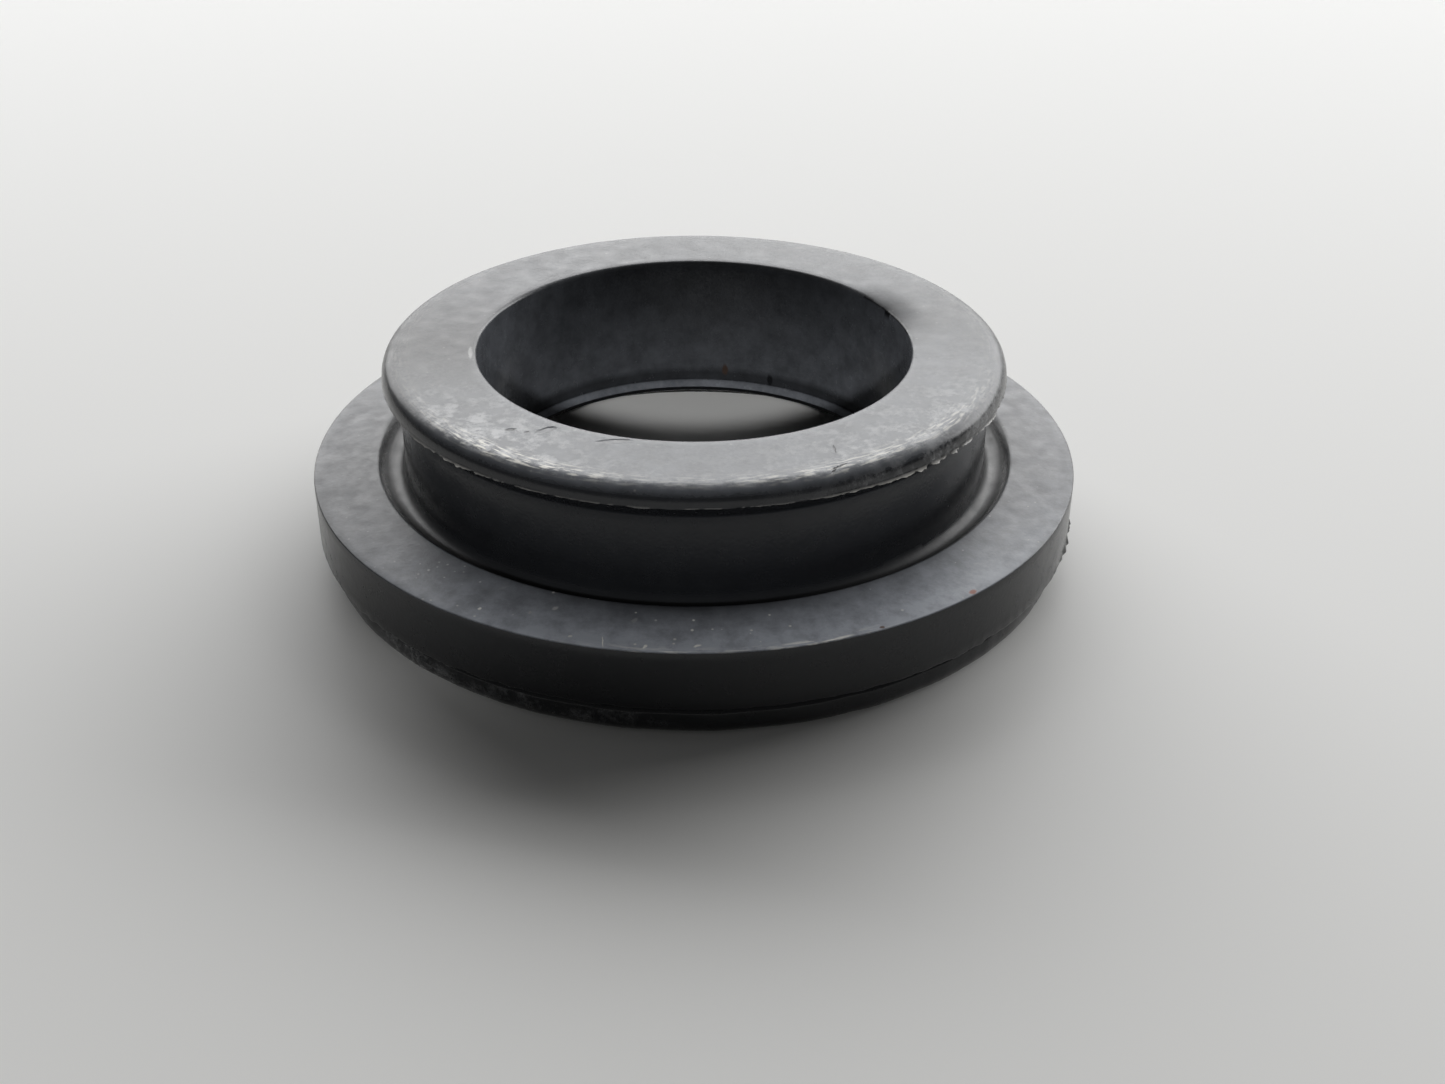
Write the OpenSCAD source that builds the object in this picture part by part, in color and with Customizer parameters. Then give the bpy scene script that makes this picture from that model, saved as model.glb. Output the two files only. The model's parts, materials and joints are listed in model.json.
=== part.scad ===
// Moulded rubber bushing: a round flange, a lipped collar that stands on it and one bore through both.
// One solid turned about Z, standing on the foot of its flange, with Z up. Millimetres.

/* [Flange] */
// Outside diameter of the flange
flange_d = 56; // [54:0.5:64]
// Height of the flange at its rim, from the foot
flange_h = 7; // [6.5:0.1:9]
// Rise of the flange's top face from the rim to the relief groove
flange_rise = 0.5; // [0:0.1:0.8]
// Radius of the foot's outer edge
foot_edge_r = 1.2; // [0.4:0.1:2]

/* [Collar] */
// Outside diameter of the collar's neck
collar_d = 42.8; // [40:0.1:46]
// Height of the collar above the flange's rim
collar_h = 8.3; // [6:0.1:14]

/* [Lip round the collar's top] */
// How far the lip stands out over the neck
lip_overhang = 1.1; // [0.4:0.1:1.2]
// Height of the lip, from the neck to the top face
lip_h = 2.4; // [2.4:0.1:3.5]
// Radius of the lip's outer top edge
lip_edge_r = 1.1; // [0.3:0.1:1.2]

/* [Relief groove round the collar's foot] */
// Width of the half-round groove, from the neck to its outer edge
groove_w = 2; // [1:0.1:2.4]

/* [Bore] */
// Diameter of the bore
bore_d = 31.4; // [28:0.1:36]
// Radius of the bore's top edge
bore_edge_r = 0.3; // [0.1:0.1:0.8]
// Radius of the half-round bead that stands in at the bore's lower end
bead_r = 0.5; // [0.2:0.1:0.8]

/* [Recess under the flange] */
// Diameter of the recess
recess_d = 47; // [42:0.1:48]
// Depth of the recess from the foot
recess_depth = 4; // [2:0.1:4.5]
// Radius of the corner at the top of the recess
recess_corner_r = 0.6; // [0.2:0.1:1]

/* [Parting line on the flange's side] */
// Height of the parting line above the foot
seam_z = 2.7; // [2.5:0.1:5]
// How far the foot's side stands back below the parting line
seam_step = 0.7; // [0.2:0.1:1]

/* [Hidden] */
$fn = 128;
rubber_color = "#2b2d30";
flange_r = flange_d / 2;
foot_r = flange_r - seam_step;
collar_r = collar_d / 2;
lip_r = collar_r + lip_overhang;
bore_r = bore_d / 2;
recess_r = recess_d / 2;
groove_r = groove_w / 2;
// Where the flange's top face ends at the groove
shoulder_r = collar_r + groove_w;
shoulder_z = flange_h + flange_rise;
top_z = flange_h + collar_h;
// How far a cut runs past the surface that it cuts
past = 1;

// What a rounded corner takes away: a square's corner at [0, 0], with the material at -X and -Z
module corner_waste(r) {
    translate([-r, -r])
        difference() {
            square(r + past);
            circle(r);
        }
}

// What fills an inside corner at [0, 0], with the open space at -X and -Z
module corner_fill(r) {
    translate([-r, -r])
        difference() {
            square(r);
            circle(r);
        }
}

// The flange's half section, stepped at the parting line, with its top face rising from the rim to the groove
module flange_section() {
    polygon([
        [0, 0],
        [foot_r, 0],
        [foot_r, seam_z],
        [flange_r, seam_z],
        [flange_r, flange_h],
        [shoulder_r, shoulder_z],
        [0, shoulder_z]
    ]);
}

// The collar's half section: a straight neck, and a lip whose underside slopes out at 45 degrees
module collar_section() {
    polygon([
        [0, 0],
        [collar_r, 0],
        [collar_r, top_z - lip_h],
        [lip_r, top_z - lip_h + lip_overhang],
        [lip_r, top_z],
        [0, top_z]
    ]);
}

// A half-round groove that runs into the neck
module groove_section() {
    translate([collar_r + groove_r, shoulder_z]) circle(groove_r);
}

// The bore, with a small round at its top edge and a bead left standing where it opens into the recess
module bore_section() {
    difference() {
        translate([0, -past]) square([bore_r, top_z + 2 * past]);
        translate([bore_r, recess_depth + bead_r]) circle(bead_r);
    }
    translate([bore_r, top_z]) mirror([1, 0]) corner_waste(bore_edge_r);
}

// The hollow under the flange, with a filled corner at its top
module recess_section() {
    difference() {
        translate([0, -past]) square([recess_r, recess_depth + past]);
        translate([recess_r, recess_depth]) corner_fill(recess_corner_r);
    }
}

module bushing() {
    color(rubber_color)
        rotate_extrude()
            difference() {
                union() {
                    flange_section();
                    collar_section();
                }
                groove_section();
                bore_section();
                recess_section();
                translate([lip_r, top_z]) corner_waste(lip_edge_r);
                translate([foot_r, 0]) mirror([0, 1]) corner_waste(foot_edge_r);
            }
}

bushing();
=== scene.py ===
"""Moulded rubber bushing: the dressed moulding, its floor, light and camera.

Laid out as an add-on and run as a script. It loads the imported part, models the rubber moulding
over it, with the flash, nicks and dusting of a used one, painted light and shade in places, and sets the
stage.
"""

import json
import math
from typing import NamedTuple

import bmesh
import bpy
from mathutils import Matrix, Vector, noise


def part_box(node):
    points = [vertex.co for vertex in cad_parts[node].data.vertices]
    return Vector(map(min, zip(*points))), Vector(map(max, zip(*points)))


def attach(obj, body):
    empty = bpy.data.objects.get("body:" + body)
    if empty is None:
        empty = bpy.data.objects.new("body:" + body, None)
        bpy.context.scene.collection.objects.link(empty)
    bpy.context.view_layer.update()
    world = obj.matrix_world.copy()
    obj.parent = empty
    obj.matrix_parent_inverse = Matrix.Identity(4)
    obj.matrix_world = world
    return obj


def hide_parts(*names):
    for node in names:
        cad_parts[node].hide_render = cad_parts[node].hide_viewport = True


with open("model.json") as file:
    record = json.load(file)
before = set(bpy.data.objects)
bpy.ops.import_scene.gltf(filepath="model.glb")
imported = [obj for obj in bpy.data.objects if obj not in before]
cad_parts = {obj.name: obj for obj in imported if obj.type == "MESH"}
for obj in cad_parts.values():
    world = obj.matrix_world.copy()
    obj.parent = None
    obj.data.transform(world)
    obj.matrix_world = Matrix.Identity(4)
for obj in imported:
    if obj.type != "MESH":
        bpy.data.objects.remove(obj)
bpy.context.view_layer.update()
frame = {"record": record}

bl_info = {
    "name": "Moulded rubber bushing",
    "version": (1, 0, 0),
    "blender": (4, 5, 0),
    "location": "View3D > Sidebar > Bushing",
    "description": "Models a flanged rubber bushing with its flash, wear and dust",
    "category": "Add Mesh",
}

MM = 0.001
NODE = "bushing"
BODY = "root"
LOW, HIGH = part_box(NODE)
MOUNTS = {mount["name"]: mount["dims"] for mount in frame["record"]["mounts"]}

# The picture that the camera is set for, in pixels, and its lens in the same pixels
PICTURE_WIDTH = 1445
LENS_PIXELS = 1735
SENSOR_WIDTH = 36.0


def linear(code):
    """An sRGB hex colour as linear red, green, blue and alpha."""
    parts = [int(code[k:k + 2], 16) / 255 for k in (1, 3, 5)]
    return tuple(p / 12.92 if p <= 0.04045 else ((p + 0.055) / 1.055) ** 2.4 for p in parts) + (1.0,)


def length(name, description, millimetres):
    """A size in the sidebar, given in millimetres and kept in metres."""
    return bpy.props.FloatProperty(
        name=name, description=description, default=millimetres * MM, subtype="DISTANCE", unit="LENGTH",
        precision=5)


def turned(name, description, degrees):
    """An angle in the sidebar, given in degrees."""
    return bpy.props.FloatProperty(
        name=name, description=description, default=math.radians(degrees), subtype="ANGLE")


def count(name, description, default, least):
    """A whole number in the sidebar."""
    return bpy.props.IntProperty(name=name, description=description, default=default, min=least)


def colour(name, description, code):
    """A colour in the sidebar, given as an sRGB hex code."""
    return bpy.props.FloatVectorProperty(
        name=name, description=description, default=linear(code), size=4, subtype="COLOR", min=0, max=1)


class BushingSizes(bpy.types.PropertyGroup):
    """Sizes of the moulding's section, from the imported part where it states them."""

    flange_r: length("Flange radius", "Outside radius of the flange", (HIGH.x - LOW.x) / 2 / MM)
    top_z: length("Height", "Height of the collar's top face above the foot", HIGH.z / MM)
    bore_r: length("Bore radius", "Radius of the bore", MOUNTS["bore"]["r_mm"])
    recess_r: length("Recess radius", "Radius of the recess under the flange", MOUNTS["recess"]["r_mm"])
    neck_r: length("Neck radius", "Outside radius of the collar's neck", 21.4)
    lip_overhang: length("Lip overhang", "How far the lip stands out over the neck", 1.1)
    lip_h: length("Lip height", "Height of the lip, from the neck to the top face", 2.4)
    lip_edge: length("Lip edge", "Radius of the lip's outer top edge", 1.1)
    rim_h: length("Rim height", "Height of the flange at its rim", 7.0)
    rise: length("Rise", "Rise of the flange's top face from the rim to the groove", 0.5)
    groove_w: length("Groove width", "Width of the groove at the neck's foot", 2.0)
    groove_depth: length("Groove depth", "Depth of that groove", 1.0)
    groove_slope: length("Groove slope", "Width of the slope on the groove's outer side", 0.85)
    groove_corner: length("Groove corner", "Radius where that slope meets the groove's bottom", 0.4)
    groove_fillet: length("Groove fillet", "Radius where the groove's bottom runs up into the neck", 0.9)
    shoulder_edge: length("Shoulder edge", "Radius of the groove's outer edge and under the lip", 0.15)
    recess_depth: length("Recess depth", "Depth of the recess from the foot", 4.0)
    recess_corner: length("Recess corner", "Radius of the corner at the top of the recess", 0.6)
    bore_edge: length("Bore edge", "Radius of the bore's top edge", 0.3)
    bead: length("Bead", "Radius of the half-round bead at the bore's lower end", 0.5)
    foot_edge: length("Foot edge", "Radius of the foot's outer edge", 1.2)
    sharp_edge: length("Sharp edge", "Radius left on the edges that the mould leaves sharp", 0.1)
    seam_z: length("Seam height", "Height of the parting line on the flange's side", 2.7)
    seam_step: length("Seam step", "How far the foot's side stands back below the parting line", 0.7)
    crevice: length("Crevice", "Depth of the crevice that the mould's halves leave under the step", 0.35)
    crevice_h: length("Crevice height", "Height of the crevice's mouth", 0.8)
    flash_root: length("Flash root", "Thickness of the flash where it leaves the lip", 0.16)
    flash: length("Flash", "How far the flash stands out where it is longest", 0.32)
    spacing: length("Spacing", "Longest side of a mesh face along the section", 0.6)
    hidden_spacing: length("Hidden spacing", "The same in the recess and at the foot", 2.0)
    sectors: count("Sectors", "Like sectors that make the ring", 36, 3)
    sector_steps: count("Sector steps", "Faces round one sector", 22, 4)


class RubberLook(bpy.types.PropertyGroup):
    """Colours of the rubber and of what lies on it, and the sizes of their patterns."""

    rubber: colour("Rubber", "Clean moulded rubber", "#111214")
    dust_and_painted_light: colour("Dust", "Dust and bloom on the faces that look up", "#90949b")
    haze: colour("Haze", "Pale rubbed haze on the top face", "#c4c5c6")
    scuff: colour("Scuff", "Pale scuffs along the lip", "#e6e3da")
    speck: colour("Speck", "Loose specks of dust", "#c2c1bc")
    # The flash's colour is a painted highlight along the flash's outer edge
    flash: colour("Flash", "Thin pale edge of the flash", "#bdbbb6")
    dust_lumps: length("Dust clouds", "Size of the dust's clouds", 1.8)
    haze_lumps: length("Haze patches", "Size of the haze's patches", 1.5)
    grain: length("Grain", "Size of the moulded skin's grain", 0.25)
    scuff_angle: turned("Scuff angle", "Length of a scuff round the lip", 3)
    scuff_wide: length("Scuff width", "Width of a scuff", 0.2)
    speck_spacing: length("Speck spacing", "Room that one speck of dust takes", 0.6)


class StageSettings(bpy.types.PropertyGroup):
    """Floor, light and viewpoint."""

    floor: colour("Floor", "Colour of the floor", "#f1f1ef")
    world: colour("Surroundings", "Colour of the light from all round", "#ffffff")
    eye_x: length("Eye X", "Camera's place across the part", 0.4)
    eye_y: length("Eye Y", "Camera's place in front of the part", -115.9)
    eye_z: length("Eye Z", "Camera's height above the floor", 66.6)
    pitch: turned("Pitch", "How far the camera looks down", 30.47)
    yaw: turned("Yaw", "How far the camera turns to the right", 0.84)
    roll: turned("Roll", "How far the camera leans", -0.33)


# Share of the bead's radius that its two corners take: rounds that meet leave a hair between them
BEAD_ROUND = 0.98
# Vertices nearer than this are merged
WELD = 0.002 * MM
# Faces that meet at more than this keep a sharp edge
SHARP_ANGLE = math.radians(48)


def flash_line(s):
    """Radius and height of the lip's lower edge, where the mould's halves met and the flash stands."""
    return s.neck_r + s.lip_overhang, s.top_z - s.lip_h + s.lip_overhang


def corners(s):
    """The half section's corners, from the recess's rim round the outside.

    Each is its radius, its height, its rounding's radius and that rounding's segments.
    """
    foot_r = s.flange_r - s.seam_step
    shoulder_r = s.neck_r + s.groove_w
    shoulder_z = s.rim_h + s.rise
    groove_z = shoulder_z - s.groove_depth
    bead_z = s.recess_depth + 2 * s.bead
    bead_round = BEAD_ROUND * s.bead
    lip_r, flash_z = flash_line(s)
    half_root = s.flash_root / 2
    return [
        (s.recess_r, 0, s.sharp_edge, 2),
        (foot_r, 0, s.foot_edge, 6),
        (foot_r, s.seam_z - s.crevice_h, s.sharp_edge, 2),
        (foot_r - s.crevice, s.seam_z - s.crevice_h / 2, 0, 0),
        (s.flange_r, s.seam_z, s.sharp_edge, 2),
        (s.flange_r, s.rim_h, s.sharp_edge, 2),
        (shoulder_r, shoulder_z, s.shoulder_edge, 3),
        (shoulder_r - s.groove_slope, groove_z, s.groove_corner, 4),
        (s.neck_r, groove_z, s.groove_fillet, 6),
        (s.neck_r, s.top_z - s.lip_h, s.shoulder_edge, 3),
        (lip_r - half_root, flash_z - half_root, 0, 0),
        (lip_r + s.flash, flash_z, 0, 0),
        (lip_r, flash_z + half_root, 0, 0),
        (lip_r, s.top_z, s.lip_edge, 7),
        (s.bore_r, s.top_z, s.bore_edge, 3),
        (s.bore_r, bead_z, 0, 0),
        (s.bore_r - s.bead, bead_z, bead_round, 4),
        (s.bore_r - s.bead, s.recess_depth, bead_round, 4),
        (s.recess_r, s.recess_depth, s.recess_corner, 3),
    ]


def turned_section(bm, s):
    """Draws the section as one face, rounds its corners, divides its long sides and spins its outline."""
    points = corners(s)
    verts = [bm.verts.new((radius, 0, height)) for radius, height, _, _ in points]
    bm.faces.new(verts)
    for vert, (_, _, rounding, segments) in zip(verts, points):
        if rounding > 0:
            bmesh.ops.bevel(
                bm, geom=[vert], offset=rounding, offset_type="OFFSET", segments=segments, profile=0.5,
                affect="VERTICES", material=-1, clamp_overlap=False)
    for edge in list(bm.edges):
        hidden = max(vert.co.z for vert in edge.verts) <= s.recess_depth
        cuts = math.ceil(edge.calc_length() / (s.hidden_spacing if hidden else s.spacing)) - 1
        if cuts > 0:
            bmesh.ops.subdivide_edges(bm, edges=[edge], cuts=cuts)
    bmesh.ops.delete(bm, geom=list(bm.faces), context="FACES_ONLY")
    about_z = {"cent": (0, 0, 0), "axis": (0, 0, 1), "dvec": (0, 0, 0)}
    sector = 2 * math.pi / s.sectors
    bmesh.ops.spin(
        bm, geom=list(bm.verts) + list(bm.edges), angle=sector, steps=s.sector_steps, use_merge=False,
        use_normal_flip=False, use_duplicate=False, **about_z)
    # The first sector is then repeated round the axis, which is much quicker than one long spin
    bmesh.ops.spin(
        bm, geom=list(bm.verts) + list(bm.edges) + list(bm.faces), angle=2 * math.pi - sector,
        steps=s.sectors - 1, use_merge=False, use_normal_flip=False, use_duplicate=True, **about_z)
    bmesh.ops.remove_doubles(bm, verts=list(bm.verts), dist=WELD)
    bmesh.ops.recalc_face_normals(bm, faces=list(bm.faces))


class Run(NamedTuple):
    """A stretch round the part: its middle bearing and its spread in degrees, and its strength."""

    bearing: float
    spread: float
    strength: float


# Stretches read from the picture, with the bearing 270 at the front and 180 at the left
FLASH_RUNS = (Run(318, 20, 0.95), Run(226, 14, 0.5), Run(60, 50, 0.25), Run(140, 30, 0.2))
LIP_SCUFFS = (Run(236, 18, 1.0), Run(297, 20, 0.6), Run(325, 12, 0.4))
HAZED = (Run(228, 24, 0.8), Run(315, 34, 0.6), Run(60, 40, 0.28))
LIP_BLOTCHED = (Run(330, 26, 0.195), Run(120, 60, 0.06))
# Less dusting on the top at these bearings, so it is darker there: painted shade on its left side
DARKER_TOP = (Run(182, 28, 0.85), Run(15, 14, 0.4))
SEAM_BUMPS = (Run(345, 9, 1.0), Run(318, 10, 0.3))
SEAM_CHEWED = (Run(228, 22, 1.0), Run(318, 20, 0.6), Run(90, 60, 0.5))
DIRTY_FOOT = (Run(229, 14, 0.7), Run(255, 10, 0.3))
# At the front the flange's top gets painted light at its rim and painted shade by the neck, and more specks
FRONT_DUST_AND_PAINTED_LIGHT = (Run(268, 42, 1.0), Run(318, 24, 0.6))
# More dusting on the bore's wall at these bearings, with painted light on its right side
BORE_DUST_AND_PAINTED_LIGHT = (Run(5, 38, 0.7), Run(165, 25, 0.35))
# Painted shade on the flange's top close to the neck at the front
PAINTED_SHADE_AT_FRONT = (Run(268, 24, 0.9),)
TORN = (Run(24, 12, 1.0),)
RIM_NICKS = (Run(286, 7, 1.0), Run(266, 9, 0.5))


class Ragged(NamedTuple):
    """Unevenness round the part: how far it reaches, the size of its lumps in metres, and its seed."""

    reach: float
    lump: float
    seed: float


# What the mould and use left uneven, with a reach in metres, or from 0 to 1 where it thins something
SKIN_WAVE = Ragged(0.03 * MM, 9 * MM, 11.0)
FOOT_WAVE = Ragged(0.07 * MM, 3.5 * MM, 13.0)
FLASH_LENGTHS = Ragged(0.7, 2.6 * MM, 3.0)
FLASH_CHIPS = Ragged(0.8, 0.5 * MM, 4.0)
FLASH_WAVE = Ragged(0.05 * MM, 1.3 * MM, 5.0)
SEAM_LUMPS = Ragged(0.35 * MM, 0.9 * MM, 7.0)
SEAM_TEETH = Ragged(0.2 * MM, 1.2 * MM, 9.0)
TORN_BITES = Ragged(0.7, 3.2 * MM, 15.0)
# The noise's fall in strength from one octave to the next, their step in size, and how many there are
OCTAVES = (1.0, 2.0, 3)

# The flash: the unevenness at which it starts and is whole, and what is left of it at least and anywhere
FLASH_RANGE = (-0.4, 0.6)
FLASH_LEAST = 0.05
FLASH_ANYWHERE = 0.1
# The share of its reach past which a vertex belongs to the flash's tip, and how far a whole tip hangs
FLASH_TIP = 0.8
FLASH_DROOP = 0.16 * MM
# The parting line's teeth: their strength anywhere, and the furthest that they reach down and up
CHEWED_ANYWHERE = 0.25
CHEWED_DOWN = 0.14 * MM
CHEWED_UP = 0.08 * MM
# The bore's torn edge: its width, how badly it is bitten anywhere, and how far a bite goes back and down
TORN_WIDTH = 2.6 * MM
BITTEN_ANYWHERE = 0.6
TORN_BACK = 0.05 * MM
TORN_DOWN = 0.1 * MM
# A vertex lower than this stands on the floor
ON_FLOOR = 1e-6


def around(vert):
    """A vertex's distance from the axis, its height and its angle round the axis."""
    return math.hypot(vert.co.x, vert.co.y), vert.co.z, math.atan2(vert.co.y, vert.co.x)


def strength(runs, angle):
    """How strong some stretches are at an angle in radians."""
    total = 0.0
    for run in runs:
        away = (math.degrees(angle) - run.bearing + 180) % 360 - 180
        total += run.strength * math.exp(-(away / run.spread) ** 2)
    return total


def share(value, low, high):
    """How far a value lies from low to high, held between 0 and 1."""
    return min(1.0, max(0.0, (value - low) / (high - low)))


def blend(low, high, part):
    """A value that runs from low to high as its part runs from 0 to 1."""
    return low + (high - low) * part


def ragged(angle, radius, kind):
    """Unevenness of a kind at a place round the part, from minus its reach to its reach."""
    across = math.cos(angle) * radius / kind.lump
    along = math.sin(angle) * radius / kind.lump
    return kind.reach * noise.fractal(Vector((across, along, kind.seed)), *OCTAVES)


def flash_reach(angle, s):
    """How much of the lip's flash is left at a bearing, from 0 to 1."""
    uneven = ragged(angle, s.neck_r, FLASH_LENGTHS) + ragged(angle, s.neck_r, FLASH_CHIPS)
    whole = FLASH_ANYWHERE + strength(FLASH_RUNS, angle)
    return min(1.0, FLASH_LEAST + whole * share(uneven, *FLASH_RANGE))


def torn(angle, radius, height, s):
    """How badly the bore's top edge is torn at a place, from 0 to 1."""
    from_edge = math.hypot(radius - s.bore_r, height - s.top_z)
    return strength(TORN, angle) * max(0.0, 1 - from_edge / TORN_WIDTH)


def wear(bm, s):
    """Moves the vertices into what the mould and use left: ragged flash, an uneven foot, a torn edge."""
    foot_r = s.flange_r - s.seam_step
    lip_r, flash_z = flash_line(s)
    for vert in bm.verts:
        radius, height, angle = around(vert)
        out = ragged(angle, radius, SKIN_WAVE)
        up = 0.0
        if radius > lip_r + FLASH_TIP * s.flash and abs(height - flash_z) < s.flash_root:
            left = flash_reach(angle, s)
            out = s.flash * (left - 1)
            up = ragged(angle, radius, FLASH_WAVE) - FLASH_DROOP * left
        if radius > foot_r and abs(height - s.seam_z) < 2 * s.sharp_edge:
            out += max(0.0, ragged(angle, radius, SEAM_LUMPS)) * strength(SEAM_BUMPS, angle)
            chewed = ragged(angle, radius, SEAM_TEETH) * (CHEWED_ANYWHERE + strength(SEAM_CHEWED, angle))
            up = max(-CHEWED_DOWN, min(CHEWED_UP, chewed))
        elif radius > foot_r - s.foot_edge and height < s.seam_z:
            out += ragged(angle, radius, FOOT_WAVE)
        damage = torn(angle, radius, height, s)
        if damage > 0:
            bite = damage * max(0.0, BITTEN_ANYWHERE + ragged(angle, s.bore_r, TORN_BITES))
            out += TORN_BACK * bite
            up = -TORN_DOWN * bite
        if height < ON_FLOOR:
            up = 0.0
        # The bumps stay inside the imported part's box
        limit = s.flange_r / max(abs(math.cos(angle)), abs(math.sin(angle)))
        reach = min(radius + out, limit)
        vert.co = Vector((math.cos(angle) * reach, math.sin(angle) * reach, height + up))


# What the vertices say of the surface, each from 0 up. The first also lays painted light and shade; the last
# two are the flash's painted highlight and the crevice's painted shade, with the torn edge's darkening
LAYERS = ("dust_and_painted_light", "matte", "specks", "haze", "scuff", "painted_flash_highlight", "painted_shade_and_darkening")

# How upright a face's normal is where it starts to catch dust, or to be rubbed, and where it does so fully
LOOKS_UP = (0.5, 1.0)
LIES_FLAT = (0.85, 1.0)

# Dust at a place, with painted light and shade on the bead and on the flange's top
DUST_ANYWHERE = 0.03
DUST_IN_BORE = 0.55
# Painted highlight on the bead's top half, and painted shade in the strip over the bead
PAINTED_LIGHT_ON_BEAD = 1.2
PAINTED_SHADE_OVER_BEAD = 0.2
# Painted shade on the flange's top by the neck, and painted light at its rim at the front
DUST_AND_PAINTED_SHADE_BY_NECK = 0.6
DUST_AND_PAINTED_LIGHT_AT_FRONT_RIM = 3.3
# The shares of the bore's edge and of the bead, by their radius, that count as the bore's wall
BORE_EDGE_AS_WALL = 0.2
BEAD_AS_WALL = 0.3
# How high the strip of painted shade over the bead is
OVER_BEAD = 0.7 * MM

# How many specks lie at a place, and how many a dirty foot has
SPECKS_ON_TOP = 0.5
SPECKS_ON_FLANGE = 0.2
SPECKS_ON_FOOT = 0.5

# How hazed the top is anywhere, and the share of that at the bore, and how hazed a dirty foot is
HAZE_ANYWHERE = 0.14
HAZE_AT_BORE = 0.45
HAZE_ON_FOOT = 0.3

# How scuffed the lip is anywhere, and how far inside its round the scuffs start and are whole
SCUFFS_ANYWHERE = 0.1
SCUFFS_START = 1.1 * MM
SCUFFS_WHOLE = 0.3 * MM
# How wide the rim's nicks are
RIM_NICK_WIDTH = 0.5 * MM

# The painted highlight on the flash, in thicknesses of its root to each side, and how far it starts from the
# lip
FLASH_PALE = 1.5
FLASH_CLEAR = 0.03 * MM
# The part of the crevice under painted shade, in heights of its mouth, and how dull and how much darker the
# torn edge is
CREVICE_SHADED = 1.2
TORN_MATTE = 1.5
TORN_DARKENING = 0.7


def dust_and_painted_light_in_bore(angle, radius, height, s):
    """Dust on the bore's wall, with a painted highlight on the top half of the bead at its lower end, and
    painted shade on the bead's lower half and in a strip over the bead.
    """
    bead_z = s.recess_depth + 2 * s.bead
    # The bead: painted highlight on its top half, painted shade on its lower half
    if radius < s.bore_r - BEAD_AS_WALL * s.bead:
        return PAINTED_LIGHT_ON_BEAD if height > bead_z - s.bead else 0.0
    # Painted shade in the strip over the bead
    if height < bead_z + OVER_BEAD:
        return PAINTED_SHADE_OVER_BEAD
    # More dusting, with painted light on the wall's right side
    return DUST_IN_BORE + strength(BORE_DUST_AND_PAINTED_LIGHT, angle)


def dust_and_painted_light_on_flange(angle, outward):
    """Dust on the flange's top, from the groove out, with painted shade by the neck, and at the front painted
    shade close to the neck and painted light at the rim.
    """
    front = min(1.0, strength(FRONT_DUST_AND_PAINTED_LIGHT, angle))
    # At the front: painted shade close to the neck, painted light at the rim
    painted_front = blend(1 - strength(PAINTED_SHADE_AT_FRONT, angle), DUST_AND_PAINTED_LIGHT_AT_FRONT_RIM, outward)
    return blend(blend(DUST_AND_PAINTED_SHADE_BY_NECK, 1.0, outward), painted_front, front)


def settled(vert, s):
    """Dust with the painted light and shade laid in its colour, its dullness and its specks at a vertex."""
    radius, height, angle = around(vert)
    shoulder_r = s.neck_r + s.groove_w
    facing_up = share(vert.normal.z, *LOOKS_UP)
    if radius < s.bore_r + BORE_EDGE_AS_WALL * s.bore_edge:
        return dust_and_painted_light_in_bore(angle, radius, height, s), 0.0, 0.0
    if height > s.top_z - s.lip_edge / 2:
        # Darker top at some bearings: painted shade on its left side
        dust_and_painted_light = facing_up * (1 - strength(DARKER_TOP, angle))
        matte = facing_up * (1 + TORN_MATTE * torn(angle, radius, height, s))
        return dust_and_painted_light, matte, SPECKS_ON_TOP * facing_up
    if radius > shoulder_r - s.shoulder_edge and height > s.seam_z:
        dust_and_painted_light = facing_up * dust_and_painted_light_on_flange(angle, share(radius, shoulder_r, s.flange_r))
        return dust_and_painted_light, facing_up, facing_up * (SPECKS_ON_FLANGE + strength(FRONT_DUST_AND_PAINTED_LIGHT, angle))
    if radius > s.neck_r + s.sharp_edge and s.seam_z < height < s.rim_h + s.rise:
        return DUST_ANYWHERE, share(shoulder_r - radius, s.groove_slope / 2, s.groove_slope), 0.0
    if radius > s.flange_r - s.seam_step - s.sharp_edge:
        return DUST_ANYWHERE, 0.0, SPECKS_ON_FOOT * strength(DIRTY_FOOT, angle)
    return DUST_ANYWHERE, 0.0, 0.0


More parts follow.
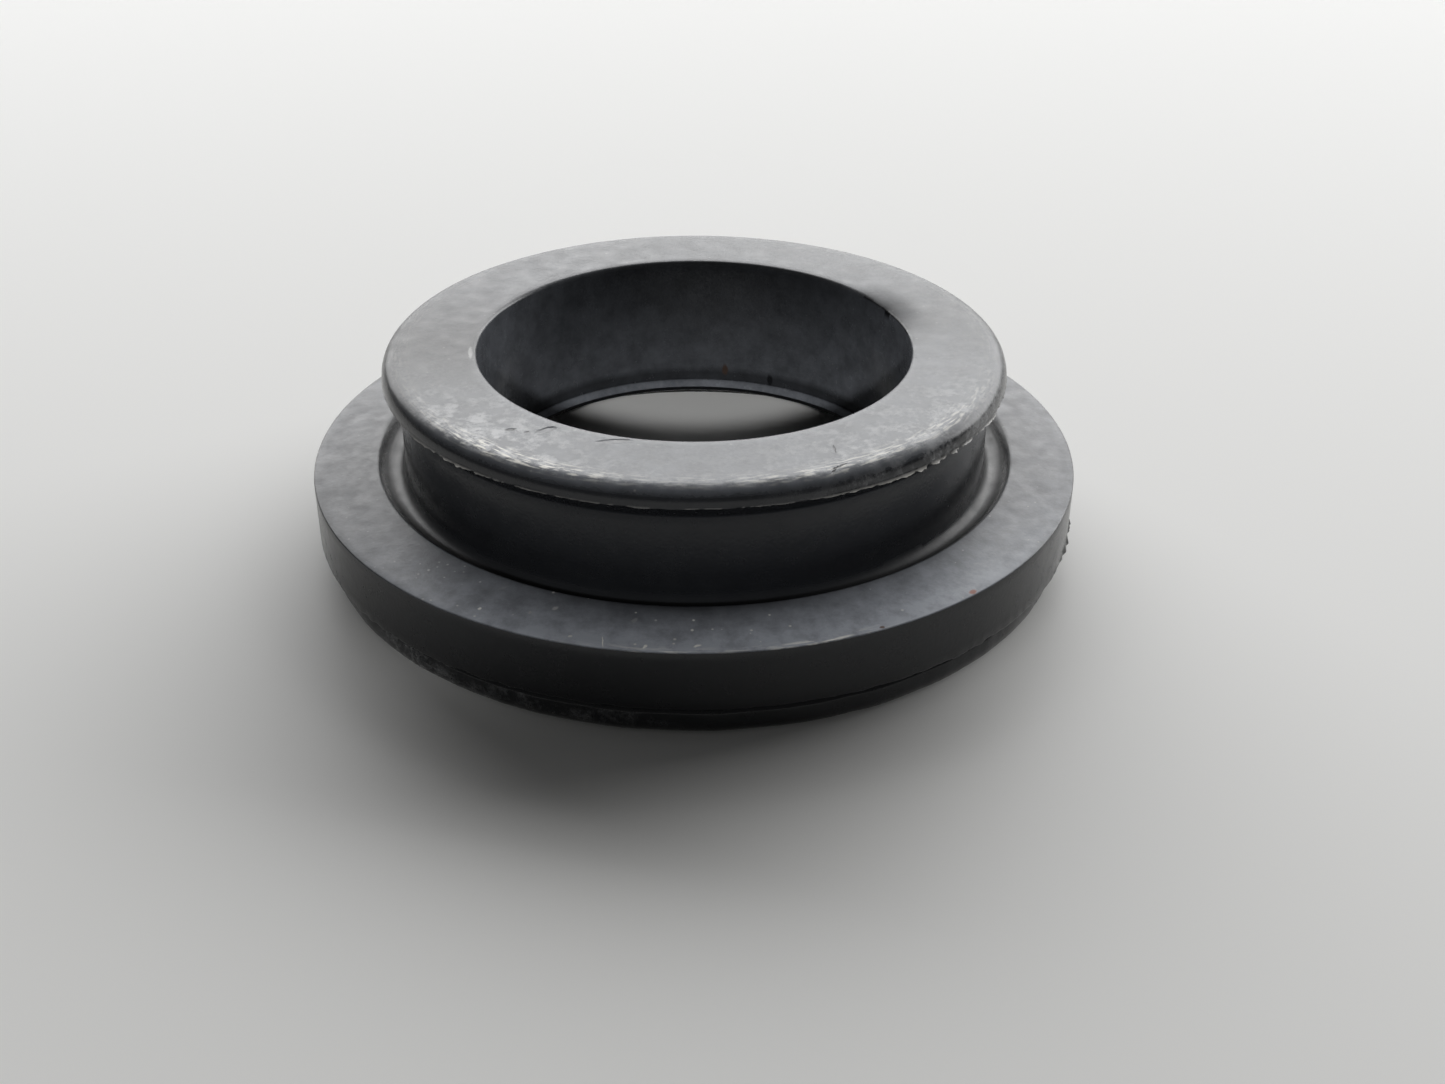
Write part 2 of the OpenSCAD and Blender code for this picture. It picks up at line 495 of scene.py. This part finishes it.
def rubbed_off(vert, s):
    """Haze, scuffs, the flash's painted highlight, and the crevice's painted shade with the torn edge's
    darkening at a vertex.
    """
    radius, height, angle = around(vert)
    foot_r = s.flange_r - s.seam_step
    lip_r, flash_z = flash_line(s)
    edge_r = lip_r - s.lip_edge
    facing_up = share(vert.normal.z, *LOOKS_UP)
    flat = share(vert.normal.z, *LIES_FLAT) if height > s.top_z - s.lip_edge / 2 else 0.0
    hazed = HAZE_ANYWHERE + strength(HAZED, angle)
    haze = flat * min(1.0, hazed * blend(HAZE_AT_BORE, 1.0, share(radius, s.bore_r, edge_r)))
    if s.sharp_edge < height < s.seam_z - s.crevice_h and radius > foot_r - s.foot_edge:
        haze = HAZE_ON_FOOT * strength(DIRTY_FOOT, angle)
    if radius > edge_r and height > flash_z:
        haze = max(haze, strength(LIP_BLOTCHED, angle))
    at_lip = flat * share(radius, edge_r - SCUFFS_START, edge_r - SCUFFS_WHOLE)
    scuff = (SCUFFS_ANYWHERE + strength(LIP_SCUFFS, angle)) * at_lip
    if height > s.seam_z:
        at_rim = facing_up * share(radius, s.flange_r - RIM_NICK_WIDTH, s.flange_r)
        scuff += strength(RIM_NICKS, angle) * at_rim
    # Painted highlight along the flash's outer edge, strongest where the flash is longest
    at_flash = abs(height - flash_z) < FLASH_PALE * s.flash_root and radius > lip_r + FLASH_CLEAR
    painted_flash_highlight = flash_reach(angle, s) if at_flash else 0.0
    # Painted shade in the crevice under the step, in the clean rubber's colour; the torn edge is darker
    under_seam = s.seam_z - CREVICE_SHADED * s.crevice_h < height < s.seam_z
    in_crevice = under_seam and s.recess_r + s.sharp_edge < radius < foot_r
    painted_shade_and_darkening = 1.0 if in_crevice else TORN_DARKENING * torn(angle, radius, height, s) * facing_up
    return haze, min(1.0, scuff), painted_flash_highlight, painted_shade_and_darkening


def paint(bm, s):
    """Writes where the dusting and its painted light and shade lie and dull, where the top is hazed and
    scuffed, where the flash's painted highlight and the crevice's painted shade are, and where the torn edge
    is darker.
    """
    layers = [bm.verts.layers.float.new(name) for name in LAYERS]
    for vert in bm.verts:
        for layer, value in zip(layers, settled(vert, s) + rubbed_off(vert, s)):
            vert[layer] = value


def add(tree, kind, values=None, links=None, **settings):
    """Adds a node with its settings, socket values and links."""
    made = tree.nodes.new(kind)
    for name, value in settings.items():
        setattr(made, name, value)
    for socket, value in (values or {}).items():
        made.inputs[socket].default_value = value
    for socket, source in (links or {}).items():
        tree.links.new(source, made.inputs[socket])
    return made


class Mark(NamedTuple):
    """A single mark on the rubber, with its bearing and turn in degrees and its sizes in millimetres."""

    bearing: float
    radius: float
    height: float
    turn: float
    along: float
    across: float
    code: str
    depth: float = 0.0


# Marks read from the picture, with the bearing 270 at the front
MARKS = {
    "pit": Mark(229.7, 18.6, 15.3, 10, 0.7, 0.35, "#3a3b3d", 0.12),
    "scar": Mark(235.9, 17.3, 15.3, 40, 1.5, 0.7, "#6c6d70", 0.1),
    "second scar": Mark(252.0, 16.7, 15.3, 5, 2.2, 0.6, "#6c6d70", 0.08),
    "small pit": Mark(233.0, 18.2, 15.3, 30, 0.4, 0.25, "#4a4b4d", 0.06),
    "nick at the lip": Mark(295.3, 21.4, 15.2, 40, 1.3, 0.16, "#1b1c1e", 0.15),
    "second nick at the lip": Mark(294.2, 21.6, 15.2, 62, 0.8, 0.14, "#1b1c1e", 0.15),
    "slit": Mark(298.0, 19.2, 15.3, 95, 1.1, 0.12, "#4c4d50", 0.06),
    "smear at the bore": Mark(187.0, 16.15, 15.3, 277, 2.0, 0.3, "#8f8f8e"),
    "fibre": Mark(258.1, 27.4, 7.1, 274, 1.0, 0.08, "#d2d0c8"),
    "smudge on the flange": Mark(249.4, 25.0, 7.3, 30, 0.45, 0.32, "#8a8b8b"),
    "second smudge on the flange": Mark(246.4, 25.9, 7.2, 80, 0.32, 0.2, "#8a8b8b"),
    "third smudge on the flange": Mark(239.6, 24.4, 7.4, 20, 0.7, 0.25, "#6c6e71"),
    "fourth smudge on the flange": Mark(261.4, 25.1, 7.3, 60, 0.5, 0.35, "#747678"),
    "dot on the flange": Mark(239.5, 26.8, 7.1, 0, 0.24, 0.2, "#c8c7c2"),
    "second dot on the flange": Mark(253.7, 27.3, 7.1, 0, 0.28, 0.16, "#b8b7b3"),
    "third dot on the flange": Mark(269.7, 25.8, 7.2, 0, 0.2, 0.24, "#b8b7b3"),
    "fourth dot on the flange": Mark(270.4, 27.3, 7.1, 20, 0.5, 0.2, "#c8c7c2"),
    "fifth dot on the flange": Mark(263.7, 27.5, 7.1, 60, 0.45, 0.18, "#c8c7c2"),
    "rust": Mark(310.5, 27.7, 7.05, 40, 0.65, 0.4, "#8a5a4c"),
    "second rust": Mark(295.0, 27.8, 7.05, 25, 0.35, 0.2, "#5a4a44"),
    "nick in the bore": Mark(66.9, 15.7, 5.4, 60, 0.4, 0.5, "#141517"),
    "brown spot in the bore": Mark(81.0, 15.7, 5.9, 80, 0.4, 0.5, "#3c302a"),
}
# How far a mark reaches above and below its place, the grain of its uneven edge and how far that is shaken
MARK_HALF_HEIGHT = 0.5 * MM
MARK_EDGE_GRAIN = 0.3 * MM
MARK_EDGE_SHAKE = 0.16 * MM

# How much rougher dust makes the rubber
DUST_ROUGHNESS = 0.22
# A Mix node's colour sockets: they share their names with its number sockets
MIX_UNDER, MIX_OVER, MIX_RESULT = 6, 7, 2


def mark_mask(tree, place, mark):
    """Where a mark lies: 1 inside an ellipsoid round its place, falling softly at its edge."""
    bearing = math.radians(mark.bearing)
    across = math.cos(bearing) * mark.radius * MM
    along = math.sin(bearing) * mark.radius * MM
    fitted = add(
        tree, "ShaderNodeMapping",
        {"Location": (across, along, mark.height * MM), "Rotation": (0, 0, math.radians(mark.turn)),
         "Scale": (mark.along / 2 * MM, mark.across / 2 * MM, MARK_HALF_HEIGHT)},
        {"Vector": place}, vector_type="TEXTURE")
    away = add(tree, "ShaderNodeVectorMath", None, {0: fitted.outputs["Vector"]}, operation="LENGTH")
    edge = {"From Min": 1.2, "From Max": 0.7, "To Max": 1.0}
    return add(tree, "ShaderNodeMapRange", edge, {"Value": away.outputs["Value"]}).outputs["Result"]


def dusted(tree, place, look, dust_and_painted_light, specks):
    """Rubber under a dusting that also lays painted light and shade, in soft clouds with a fine grain, and
    under loose specks.
    """
    clouds = add(
        tree, "ShaderNodeTexNoise", {"Scale": 1 / look.dust_lumps, "Detail": 7.0, "Roughness": 0.72},
        {"Vector": place})
    cover = add(
        tree, "ShaderNodeMapRange", {"From Min": 0.36, "From Max": 0.64, "To Min": 0.26, "To Max": 0.45},
        {"Value": clouds.outputs["Fac"]})
    amount = add(tree, "ShaderNodeMath", None, {0: cover.outputs["Result"], 1: dust_and_painted_light}, operation="MULTIPLY")
    grey = add(
        tree, "ShaderNodeMix", {MIX_UNDER: look.rubber, MIX_OVER: look.dust_and_painted_light},
        {"Factor": amount.outputs["Value"]}, data_type="RGBA").outputs[MIX_RESULT]
    # A speck is the middle of a cell, and its size is the luck of the cell's colour
    cells = add(tree, "ShaderNodeTexVoronoi", {"Scale": 1 / look.speck_spacing}, {"Vector": place})
    luck = add(tree, "ShaderNodeSeparateColor", None, {"Color": cells.outputs["Color"]})
    size = add(
        tree, "ShaderNodeMapRange", {"From Min": 0.6, "From Max": 1.0, "To Min": 0.0, "To Max": 0.24},
        {"Value": luck.outputs["Red"]})
    speck = add(
        tree, "ShaderNodeMapRange", {"From Min": 0.0, "To Min": 1.0, "To Max": 0.0},
        {"Value": cells.outputs["Distance"], "From Max": size.outputs["Result"]})
    shown = add(
        tree, "ShaderNodeMath", None, {0: speck.outputs["Result"], 1: specks}, operation="MULTIPLY",
        use_clamp=True)
    return add(
        tree, "ShaderNodeMix", {MIX_OVER: look.speck}, {"Factor": shown.outputs["Value"], MIX_UNDER: grey},
        data_type="RGBA").outputs[MIX_RESULT]


def rubbed(tree, place, look, tone, haze, scuff):
    """The pale haze in patches, and the scuffs that run along the lip."""
    patches = add(
        tree, "ShaderNodeTexNoise", {"Scale": 1 / look.haze_lumps, "Detail": 8.0, "Roughness": 0.8},
        {"Vector": place})
    hazed = add(
        tree, "ShaderNodeMapRange", {"From Min": 0.47, "From Max": 0.6, "To Min": 0.0},
        {"Value": patches.outputs["Fac"], "To Max": haze})
    tone = add(
        tree, "ShaderNodeMix", {MIX_OVER: look.haze}, {"Factor": hazed.outputs["Result"], MIX_UNDER: tone},
        data_type="RGBA").outputs[MIX_RESULT]
    # The scuffs' pattern runs round the axis: along it by the bearing, across it by the radius
    parts = add(tree, "ShaderNodeSeparateXYZ", None, {"Vector": place})
    bearing = add(
        tree, "ShaderNodeMath", None, {0: parts.outputs["Y"], 1: parts.outputs["X"]}, operation="ARCTAN2")
    from_axis = add(tree, "ShaderNodeVectorMath", {1: (1, 1, 0)}, {0: place}, operation="MULTIPLY")
    radius = add(tree, "ShaderNodeVectorMath", None, {0: from_axis.outputs["Vector"]}, operation="LENGTH")
    unrolled = add(
        tree, "ShaderNodeCombineXYZ", None, {"X": bearing.outputs["Value"], "Y": radius.outputs["Value"]})
    along = add(
        tree, "ShaderNodeMapping", {"Scale": (look.scuff_angle, look.scuff_wide, 1.0)},
        {"Vector": unrolled.outputs["Vector"]}, vector_type="TEXTURE")
    dashes = add(
        tree, "ShaderNodeTexNoise", {"Scale": 1.0, "Detail": 3.0}, {"Vector": along.outputs["Vector"]})
    scuffed = add(
        tree, "ShaderNodeMapRange", {"From Min": 0.5, "From Max": 0.62, "To Min": 0.0},
        {"Value": dashes.outputs["Fac"], "To Max": scuff})
    return add(
        tree, "ShaderNodeMix", {MIX_OVER: look.scuff}, {"Factor": scuffed.outputs["Result"], MIX_UNDER: tone},
        data_type="RGBA").outputs[MIX_RESULT]


def marked(tree, place, tone):
    """The single marks' colours and their depth in metres, with edges that a fine noise makes uneven."""
    depth = None
    fine = add(
        tree, "ShaderNodeTexNoise", {"Scale": 1 / MARK_EDGE_GRAIN, "Detail": 1.0}, {"Vector": place})
    shaken = add(
        tree, "ShaderNodeVectorMath", {1: (MARK_EDGE_SHAKE,) * 3, 2: (-MARK_EDGE_SHAKE / 2,) * 3},
        {0: fine.outputs["Color"]}, operation="MULTIPLY_ADD")
    uneven = add(
        tree, "ShaderNodeVectorMath", None, {0: place, 1: shaken.outputs["Vector"]}, operation="ADD")
    for mark in MARKS.values():
        mask = mark_mask(tree, uneven.outputs["Vector"], mark)
        tone = add(
            tree, "ShaderNodeMix", {MIX_OVER: linear(mark.code)}, {"Factor": mask, MIX_UNDER: tone},
            data_type="RGBA").outputs[MIX_RESULT]
        if mark.depth > 0:
            above = {2: depth} if depth else {}
            depth = add(
                tree, "ShaderNodeMath", {1: mark.depth * MM, 2: 0.0}, {0: mask, **above},
                operation="MULTIPLY_ADD").outputs["Value"]
    return tone, depth


def rubber_material(look):
    """Carbon-black rubber, compression moulded: near black and satin, greyed by a dusting where it looks up,
    with painted light and shade in places and a painted highlight on the flash.
    """
    material = bpy.data.materials.new("Carbon-black rubber, compression moulded")
    material.use_nodes = True
    tree = material.node_tree
    tree.nodes.clear()
    place = add(tree, "ShaderNodeTexCoord").outputs["Object"]
    dust_and_painted_light, matte, specks, haze, scuff, painted_flash_highlight, painted_shade_and_darkening = (
        add(tree, "ShaderNodeAttribute", attribute_name=name).outputs["Fac"] for name in LAYERS)
    tone = dusted(tree, place, look, dust_and_painted_light, specks)
    tone = rubbed(tree, place, look, tone, haze, scuff)
    # Painted highlight on the flash, then painted shade in the crevice and the darker torn edge in the
    # rubber's own colour
    for tint, amount in ((look.flash, painted_flash_highlight), (look.rubber, painted_shade_and_darkening)):
        tone = add(
            tree, "ShaderNodeMix", {MIX_OVER: tint}, {"Factor": amount, MIX_UNDER: tone},
            data_type="RGBA").outputs[MIX_RESULT]
    tone, depth = marked(tree, place, tone)

    grain = add(tree, "ShaderNodeTexNoise", {"Scale": 1 / look.grain, "Detail": 2.0}, {"Vector": place})
    skin = add(
        tree, "ShaderNodeTexNoise", {"Scale": 1 / look.haze_lumps, "Detail": 6.0, "Roughness": 0.65},
        {"Vector": place})
    satin = add(
        tree, "ShaderNodeMapRange", {"From Min": 0.34, "From Max": 0.66, "To Min": 0.185, "To Max": 0.295},
        {"Value": skin.outputs["Fac"]})
    rough = add(
        tree, "ShaderNodeMath", {1: DUST_ROUGHNESS}, {0: matte, 2: satin.outputs["Result"]},
        operation="MULTIPLY_ADD", use_clamp=True)
    lumps = add(
        tree, "ShaderNodeBump", {"Strength": 0.06, "Distance": 0.07 * MM}, {"Height": skin.outputs["Fac"]})
    bump = add(
        tree, "ShaderNodeBump", {"Strength": 0.5, "Distance": 0.02 * MM},
        {"Height": grain.outputs["Fac"], "Normal": lumps.outputs["Normal"]})
    # The marks' depth is in metres already, so its distance is 1
    dents = add(
        tree, "ShaderNodeBump", {"Strength": 1.0, "Distance": 1.0},
        {"Height": depth, "Normal": bump.outputs["Normal"]}, invert=True)
    shader = add(
        tree, "ShaderNodeBsdfPrincipled", {"IOR": 1.48},
        {"Base Color": tone, "Roughness": rough.outputs["Value"], "Normal": dents.outputs["Normal"]})
    add(tree, "ShaderNodeOutputMaterial", None, {"Surface": shader.outputs["BSDF"]})
    return material


def laminate_material(tint):
    """Pale laminate, satin pressed: an even, light face with only a faint, wide gloss."""
    material = bpy.data.materials.new("Pale laminate, satin pressed")
    material.use_nodes = True
    shader = material.node_tree.nodes["Principled BSDF"]
    shader.inputs["Base Color"].default_value = tint
    shader.inputs["Roughness"].default_value = 0.5
    shader.inputs["Specular IOR Level"].default_value = 0.22
    return material


class Softbox(NamedTuple):
    """A rectangular lamp: its place, its target, its sides, its face's brightness and its grid's spread."""

    place: Vector
    target: Vector
    width: float
    height: float
    radiance: float
    spread: float = math.pi


# The large softbox lights the floor and the faces that look up, from behind
SOFTBOX_BEHIND = Softbox(Vector((0.55, 1.98, 1.01)), Vector((0, 0, HIGH.z / 2)), 6.6, 1.36, 5.0)
# The front one has a narrow grid: it lights the bore and the flange but not the floor in front of them
FRONT_TARGET = Vector((0, 0, 4.6 * MM))
FRONT_PLACE = FRONT_TARGET + Vector((0, -0.1815, 0.0846))
SOFTBOX_FRONT = Softbox(FRONT_PLACE, FRONT_TARGET, 0.044, 0.022, 0.62, math.radians(4))
# Half of the floor's side
FLOOR_HALF = 4.0
# Strength of the light from all round
WORLD_STRENGTH = 0.07


def linked(name, data):
    """A new object at the origin, in the scene."""
    made = bpy.data.objects.new(name, data)
    bpy.context.scene.collection.objects.link(made)
    return made


def hung(name, box):
    """A softbox as an object that looks at its target."""
    lamp = bpy.data.lights.new(name, "AREA")
    lamp.shape = "RECTANGLE"
    lamp.size = box.width
    lamp.size_y = box.height
    lamp.energy = box.radiance * math.pi * box.width * box.height
    lamp.spread = box.spread
    made = linked(name, lamp)
    made.location = box.place
    made.rotation_euler = (box.target - box.place).to_track_quat("-Z", "Y").to_euler()
    return made


def eye(stage):
    """The camera's place and turn as a matrix."""
    level = math.cos(stage.pitch)
    ahead = Vector((math.sin(stage.yaw) * level, math.cos(stage.yaw) * level, -math.sin(stage.pitch)))
    right = ahead.cross(Vector((0, 0, 1))).normalized()
    down = ahead.cross(right)
    leaning_right = math.cos(stage.roll) * right + math.sin(stage.roll) * down
    leaning_down = math.cos(stage.roll) * down - math.sin(stage.roll) * right
    turn = Matrix((leaning_right, -leaning_down, -ahead)).transposed().to_4x4()
    return Matrix.Translation((stage.eye_x, stage.eye_y, stage.eye_z)) @ turn


class BUSHING_OT_moulding(bpy.types.Operator):
    """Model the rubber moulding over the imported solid"""

    bl_idname = "bushing.moulding"
    bl_label = "Rubber moulding"

    def execute(self, context):
        s = context.scene.bushing_sizes
        bm = bmesh.new()
        turned_section(bm, s)
        wear(bm, s)
        bm.normal_update()
        paint(bm, s)
        mesh = bpy.data.meshes.new("rubber_moulding")
        bm.to_mesh(mesh)
        bm.free()
        mesh.shade_smooth()
        mesh.set_sharp_from_angle(angle=SHARP_ANGLE)
        mesh.materials.append(rubber_material(context.scene.bushing_look))
        piece = linked("rubber_moulding", mesh)
        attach(piece, BODY)
        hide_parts(NODE)
        return {"FINISHED"}


class BUSHING_OT_stage(bpy.types.Operator):
    """Set the floor, the light and the camera"""

    bl_idname = "bushing.stage"
    bl_label = "Floor, light and camera"

    def execute(self, context):
        scene = context.scene
        stage = scene.bushing_stage
        bm = bmesh.new()
        bmesh.ops.create_grid(bm, x_segments=1, y_segments=1, size=FLOOR_HALF)
        mesh = bpy.data.meshes.new("floor")
        bm.to_mesh(mesh)
        bm.free()
        mesh.materials.append(laminate_material(stage.floor))
        floor = linked("floor", mesh)
        hung("softbox_behind", SOFTBOX_BEHIND)
        # The front softbox leaves no highlight of its own
        hung("softbox_front", SOFTBOX_FRONT).visible_glossy = False
        world = bpy.data.worlds.new("surroundings")
        world.use_nodes = True
        background = world.node_tree.nodes["Background"]
        background.inputs["Color"].default_value = stage.world
        background.inputs["Strength"].default_value = WORLD_STRENGTH
        scene.world = world
        camera = linked("camera", bpy.data.cameras.new("camera"))
        camera.data.sensor_width = SENSOR_WIDTH
        camera.data.sensor_fit = "HORIZONTAL"
        camera.data.lens = SENSOR_WIDTH * LENS_PIXELS / PICTURE_WIDTH
        camera.data.clip_start = 1 * MM
        camera.matrix_world = eye(stage)
        scene.camera = camera
        scene.view_settings.view_transform = "Standard"
        return {"FINISHED"}


class BUSHING_PT_panel(bpy.types.Panel):
    """Sizes, colours and steps of the bushing"""

    bl_idname = "BUSHING_PT_panel"
    bl_label = "Bushing"
    bl_space_type = "VIEW_3D"
    bl_region_type = "UI"
    bl_category = "Bushing"

    def draw(self, context):
        for operator in (BUSHING_OT_moulding, BUSHING_OT_stage):
            self.layout.operator(operator.bl_idname)
        for group in (context.scene.bushing_sizes, context.scene.bushing_look, context.scene.bushing_stage):
            box = self.layout.box()
            for name in group.bl_rna.properties.keys():
                if name not in {"rna_type", "name"}:
                    box.prop(group, name)


CLASSES = (BushingSizes, RubberLook, StageSettings, BUSHING_OT_moulding, BUSHING_OT_stage, BUSHING_PT_panel)
GROUPS = {"bushing_sizes": BushingSizes, "bushing_look": RubberLook, "bushing_stage": StageSettings}


def register():
    for kind in CLASSES:
        bpy.utils.register_class(kind)
    for name, group in GROUPS.items():
        setattr(bpy.types.Scene, name, bpy.props.PointerProperty(type=group))


def unregister():
    for name in GROUPS:
        delattr(bpy.types.Scene, name)
    for kind in reversed(CLASSES):
        bpy.utils.unregister_class(kind)


def main():
    register()
    bpy.ops.bushing.stage()
    bpy.ops.bushing.moulding()


if __name__ == "__main__":
    main()
